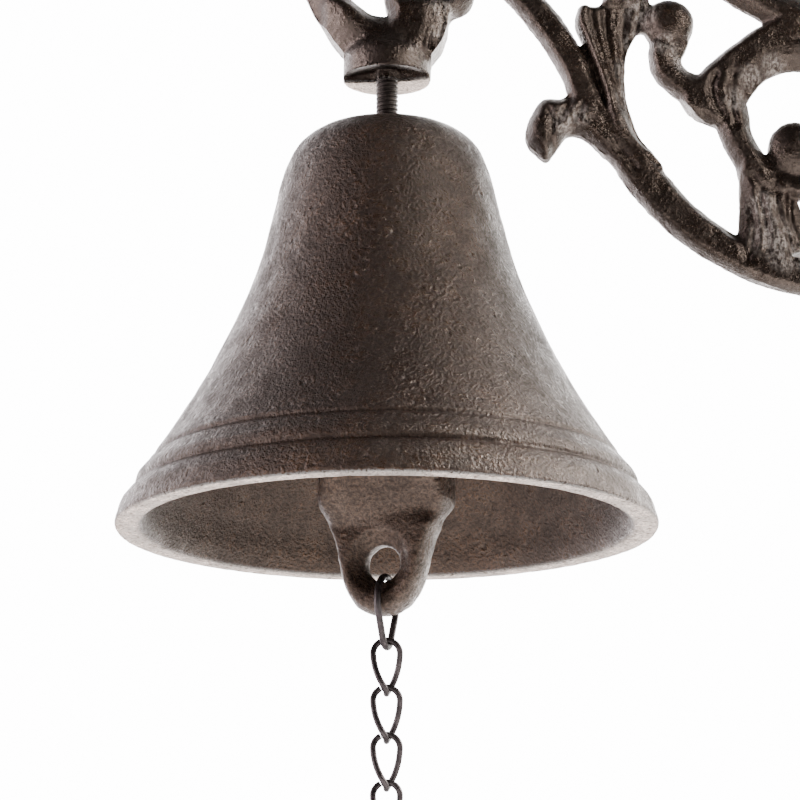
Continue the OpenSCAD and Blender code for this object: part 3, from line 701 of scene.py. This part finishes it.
def casting_height(q):
    """Half the bracket's thickness at each [x, z], with every bar, leaf and vein."""
    xz = q - np.array([0, LIFT])
    near_boss = (1 - smooth(150, 157, xz[:, 1])) * (1 - smooth(17, 20, np.abs(xz[:, 0])))
    thick = (SCROLL_T + (ARM_T - SCROLL_T) * near_boss) / 2
    rim = RIM + (0.4 - RIM) * near_boss
    h = np.zeros(len(q))
    for line, left, right in BARS.values():
        h = np.maximum(h, bar_height(xz, line, left, right, thick, rim))
    for outline, bevel, fall in LEAVES.values():
        half = (LEAF_T + (ARM_T - LEAF_T) * near_boss) / 2
        h = np.maximum(h, leaf_height(xz, outline, bevel, fall, half, RIM + (0.7 - RIM) * near_boss))
    for x, z, r in EYES:
        u = np.hypot(xz[:, 0] - x, xz[:, 1] - z) / r
        dome = LEAF_T / 2 * (RIM + (1 - RIM) * np.sqrt(np.clip(1 - u * u, 0, 1)))
        h = np.maximum(h, np.where(u < 1.1, dome, 0))
    d = nearest(crease_tree(VEINS), xz)
    h -= VEIN_DEEP * np.exp(-(d / VEIN_WIDE) ** 2)
    r = boss_radius(q[:, 1])
    boss = np.where(q[:, 1] < BOSS_Z + 17, np.sqrt(np.clip(r * r - q[:, 0] ** 2, 0, None)), 0)
    k = 1.6                                  # how softly the arms run into the boss
    mix = np.clip(0.5 + 0.5 * (boss - h) / k, 0, 1)
    return np.maximum(np.where(boss > 0, h + (boss - h) * mix + k * mix * (1 - mix), h), 0.8)


def crease_tree(lines, step=0.3):
    """Points along smooth lines, for finding how near a place is to a vein."""
    pts = []
    for line in lines:
        c = curve(line, 12)
        for a, b in zip(c[:-1], c[1:]):
            k = max(1, int(np.linalg.norm(b - a) / step))
            pts += [a + (b - a) * i / k for i in range(k)]
        pts.append(c[-1])
    tree = kdtree.KDTree(len(pts))
    for i, q in enumerate(pts):
        tree.insert((q[0], q[1], 0), i)
    tree.balance()
    return tree


def nearest(tree, xz):
    """How far each place is from the tree's nearest point."""
    return np.array([tree.find((x, z, 0))[2] for x, z in xz])


def share_of_width(q):
    """Where each point lies between the middle plane (0) and the casting's face (1)."""
    # the boss is already round: its points keep their share of its width at their own height
    tapered = BOSS_R - (q[:, 2] - SHOULDER_Z) * NECK_IN / NECK_HIGH
    radius = np.where(q[:, 2] < SHOULDER_Z, BOSS_R, tapered)
    boss_half = np.sqrt(np.clip(radius ** 2 - q[:, 0] ** 2, 0.01, None))
    boss_half = np.maximum(boss_half, ARM_T / 2 * (q[:, 2] > BOSS_Z + 8))
    share_boss = np.clip(np.abs(q[:, 1]) / boss_half, 0, 1)
    share = np.clip(np.abs(q[:, 1]) / FACE_FROM, 0, 1)
    on_boss = (1 - smooth(BOSS_Z + 8, BOSS_Z + 14.5, q[:, 2])) * (np.abs(q[:, 0]) < BOSS_R + 0.2)
    return share + (share_boss - share) * on_boss


def make_bracket():
    p, faces, edges = remeshed("bracket", 0.55)
    q = from_mouth(p)
    from_axis = np.hypot(q[:, 0], q[:, 1])
    plate = p[:, 0] > -6.4
    bore = (from_axis < 4) & (q[:, 2] < BOSS_Z + 13)
    low_boss = (q[:, 2] < BOSS_Z + 5) & (from_axis < BOSS_R + 0.5)
    shaped = np.sign(q[:, 1]) * share_of_width(q) * casting_height(q[:, [0, 2]])
    free = np.where(plate | bore | low_boss, 0, smooth(6.4, 8.5, -p[:, 0]))
    p[:, 1] += (shaped - p[:, 1]) * free
    keep = np.where(plate, 0.3, np.where(bore, 0.1, 1.0))
    keep[p[:, 0] > -0.3] = 0.02
    keep[(q[:, 2] < BOSS_Z + 0.4) & (from_axis < BOSS_R - 1.2) & (from_axis > 2)] = 0.2
    p = relax(p, edges, 3, keep)
    # the boss's underside was only ground at the back: its front half runs up towards the stud
    under = (q[:, 2] < BOSS_Z + 0.6) & (from_axis < BOSS_R + 0.5) & (from_axis > 3.4)
    ahead = -q[:, 1] - 0.2 * q[:, 0]
    hollow = 1.3 * smooth(0, 2.5, ahead) + 1.6 * np.clip(1 - (from_axis / 11) ** 2, 0, 1)
    p[:, 2] += np.where(under & (q[:, 1] < 0.25), hollow * smooth(-0.5, 1.5, ahead), 0)
    lump = rough(q, 6, 0.26, 5.0, 3) + rough(q, 2.1, 0.13, 2.0, 2)
    lump = np.clip(lump, -0.4, 0.2) * np.where(plate | bore | low_boss, 0.3, 1)
    p += mesh_normals(p, faces) * lump[:, None]
    low, high = (np.array(corner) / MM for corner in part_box("bracket"))
    p = np.clip(p, low, high)
    o = new_object("bracket_casting", p, faces, "mounting", bracket_iron)
    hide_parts("bracket")


def mesh_normals(p, faces):
    """Each point's direction away from the mesh."""
    f = np.array([x[:3] for x in faces])
    n = np.cross(p[f[:, 1]] - p[f[:, 0]], p[f[:, 2]] - p[f[:, 0]])
    out = np.zeros_like(p)
    for k in range(3):
        np.add.at(out, f[:, k], n)
    return out / np.maximum(np.linalg.norm(out, axis=1), 1e-12)[:, None]


def make_clapper():
    p, faces, edges = remeshed("clapper", 0.6)
    q = from_mouth(p)
    lug = q[:, 2] > 66
    p = relax(p, edges, 7, np.where(lug, 0.3, 1.0))
    shoulders = smooth(0, 2.4, q[:, 2]) * (1 - smooth(3.4, 6.5, q[:, 2]))
    p = relax(p, edges, 60, 0.95 * shoulders)
    q = from_mouth(p)
    p[:, 0] -= 0.025 * np.clip(8 - q[:, 2], 0, 30)          # the tongue was cast a little to one side
    lump = rough(q, 6, 0.22, 8.0, 3) + rough(q, 2.2, 0.09, 4.0, 2)
    lump = np.clip(lump, -0.35, 0.12) * np.where(lug, 0.15, 1)
    p += mesh_normals(p, faces) * lump[:, None]
    o = new_object("clapper_casting", p, faces, "clapper", clapper_iron)
    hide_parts("clapper")


def finish_fixings():
    """The washer and nut keep their CAD mesh, with a material and soft edges."""
    for name in ("washer", "nut"):
        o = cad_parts[name]
        o.data.materials.clear()
        o.data.materials.append(fixing_steel)
        w = o.modifiers.new("weld", "WELD")
        w.merge_threshold = 1e-6
        b = o.modifiers.new("soft_edges", "BEVEL")
        b.width = 0.3 * MM
        b.segments = 3
        b.limit_method = "ANGLE"
        b.angle_limit = math.radians(40)


make_bell()
make_chain()
make_links()
make_bolt()
make_bracket()
make_clapper()
finish_fixings()


# ---------------------------------------------------------------- floor, light and camera

FLOOR_Z = -0.46                        # metres, as for the lights and the camera


def make_floor():
    """A plain pale floor that fades out at its edge."""
    bpy.ops.mesh.primitive_circle_add(vertices=96, radius=1.6, fill_type="NGON", location=(-0.1, 0, FLOOR_Z))
    floor = bpy.context.object
    floor.name = "floor"
    m = bpy.data.materials.new("pale_floor")
    m.use_nodes = True
    t = m.node_tree
    shader = t.nodes["Principled BSDF"]
    shader.inputs["Base Color"].default_value = (0.86, 0.86, 0.86, 1)
    shader.inputs["Roughness"].default_value = 0.9
    away = vector_math(t, "LENGTH", node(t, "ShaderNodeTexCoord").outputs["Object"])
    fade = span(t, away, 0.7, 1.55, interpolation_type="SMOOTHSTEP")
    clear = node(t, "ShaderNodeBsdfTransparent")
    mix = node(t, "ShaderNodeMixShader", {0: fade, 1: shader.outputs[0], 2: clear.outputs[0]})
    t.links.new(mix.outputs[0], t.nodes["Material Output"].inputs["Surface"])
    floor.data.materials.append(m)


# light from each way round the object, from the front (0) to the back (1), before GLOW
AROUND = [(0.0, 0.003), (0.2, 0.008), (0.33, 0.03), (0.5, 0.12), (0.72, 0.38), (0.93, 1.0)]
GLOW = 7.0
BACKDROP = 15.0                        # the white that the camera sees


def make_world():
    """White behind the object, bright at its sides and dark in front of it."""
    world = bpy.data.worlds.new("studio")
    bpy.context.scene.world = world
    world.use_nodes = True
    t = world.node_tree
    t.nodes.clear()
    out = t.nodes.new("ShaderNodeOutputWorld")
    way = node(t, "ShaderNodeTexCoord").outputs["Generated"]
    split = node(t, "ShaderNodeSeparateXYZ", {0: way})
    behind = math_node(t, "MULTIPLY_ADD", split.outputs[1], 0.5, 0.5)
    glow = ramp(t, behind, [(at, (v, v, v)) for at, v in AROUND])
    below = span(t, split.outputs[2], -0.75, -0.2, 0.3, 1.0, interpolation_type="SMOOTHSTEP")
    above = span(t, split.outputs[2], 0.25, 0.9, 1.0, 0.15, interpolation_type="SMOOTHSTEP")
    tint = ramp(t, span(t, split.outputs[0], -1.0, 1.0), [(0.0, (1.0, 0.93, 0.98)), (1.0, (1.0, 0.99, 0.93))])
    lit = vector_math(t, "MULTIPLY", glow, tint)
    power = math_node(t, "MULTIPLY", math_node(t, "MULTIPLY", below, above), GLOW)
    soft = node(t, "ShaderNodeBackground", {"Color": lit, "Strength": power})
    white = node(t, "ShaderNodeBackground", {"Color": (1, 1, 1, 1), "Strength": BACKDROP})
    ray = node(t, "ShaderNodeLightPath").outputs["Is Camera Ray"]
    mix = node(t, "ShaderNodeMixShader", {0: ray, 1: soft.outputs[0], 2: white.outputs[0]})
    t.links.new(mix.outputs[0], out.inputs["Surface"])


BELL_MIDDLE = (-0.15, 0, -0.05)


def area(name, at, size, power, colour):
    """A soft box that looks at the middle of the bell."""
    light = bpy.data.lights.new(name, "AREA")
    light.shape = "RECTANGLE"
    light.size, light.size_y = size
    light.energy = power
    light.color = colour
    o = bpy.data.objects.new(name, light)
    o.location = at
    o.rotation_euler = (Vector(BELL_MIDDLE) - Vector(at)).to_track_quat("-Z", "Y").to_euler()
    o.visible_camera = False
    bpy.context.scene.collection.objects.link(o)


def make_lights():
    area("left_box", (-1.1, -0.20, 0.05), (0.3, 0.9), 11.5, (1.0, 0.90, 0.93))
    area("right_box", (0.56, -0.48, 0.24), (0.12, 0.3), 4.2, (1.0, 0.95, 0.90))
    area("edge_box", (0.66, 0.12, 0.32), (0.3, 0.6), 26, (1.0, 0.96, 0.92))
    area("low_glow", (-0.15, -0.1, -0.455), (0.8, 0.8), 3.3, (1.0, 0.97, 0.95))


def make_camera():
    """The camera looks up at the bell from the front, from a little under a metre away."""
    pitch, away = math.radians(13.81), 0.9324
    at = Vector((-0.14633, 0, -0.078))
    look = Vector((0, math.cos(pitch), math.sin(pitch)))
    cam = bpy.data.cameras.new("camera")
    cam.sensor_width = 36
    cam.lens = 4.1875 * cam.sensor_width
    cam.clip_start, cam.clip_end = 0.01, 50
    o = bpy.data.objects.new("camera", cam)
    o.location = at - look * away
    o.rotation_euler = look.to_track_quat("-Z", "Y").to_euler()
    bpy.context.scene.collection.objects.link(o)
    bpy.context.scene.camera = o


make_floor()
make_world()
make_lights()
make_camera()
